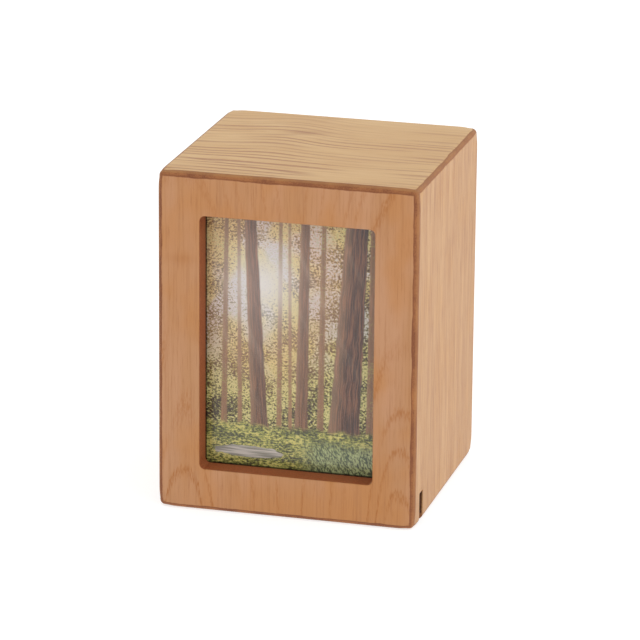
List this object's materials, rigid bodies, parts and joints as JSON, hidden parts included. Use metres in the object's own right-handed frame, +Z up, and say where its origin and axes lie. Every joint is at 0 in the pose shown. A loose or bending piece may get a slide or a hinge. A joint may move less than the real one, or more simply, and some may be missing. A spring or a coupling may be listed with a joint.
{
  "type": "cremation urn box",
  "caption": "Upright box urn with a picture window in front, rounded edges, and a screwed base panel that closes the ash chamber.",
  "frame": {"origin": "centre of the underside", "axes": "+Z up, -Y out of the front with the picture window, +X to the right of someone facing the window"},
  "size_m": [0.1194, 0.1156, 0.158],
  "materials": {
    "stained_veneer": "satin stained wood veneer on fibreboard, with the board's core showing along the rounded edges",
    "stained_fibreboard": "stained fibreboard",
    "clear_acrylic": "clear gloss acrylic",
    "print_paper": null,
    "grey_card": "matte grey card",
    "zinc_steel": "zinc plated"
  },
  "bodies": {
    "root": {"front_panel": "stained_veneer", "left_side": "stained_veneer", "right_side": "stained_veneer", "back_panel": "stained_veneer", "top_panel": "stained_veneer", "base_panel": "stained_fibreboard", "inner_wall": "stained_fibreboard", "window_pane": "clear_acrylic", "picture_print": "print_paper", "picture_backing": "grey_card", "base_screw_front_left": "zinc_steel", "base_screw_front_right": "zinc_steel", "base_screw_back_left": "zinc_steel", "base_screw_back_right": "zinc_steel"}
  },
  "joints": []
}
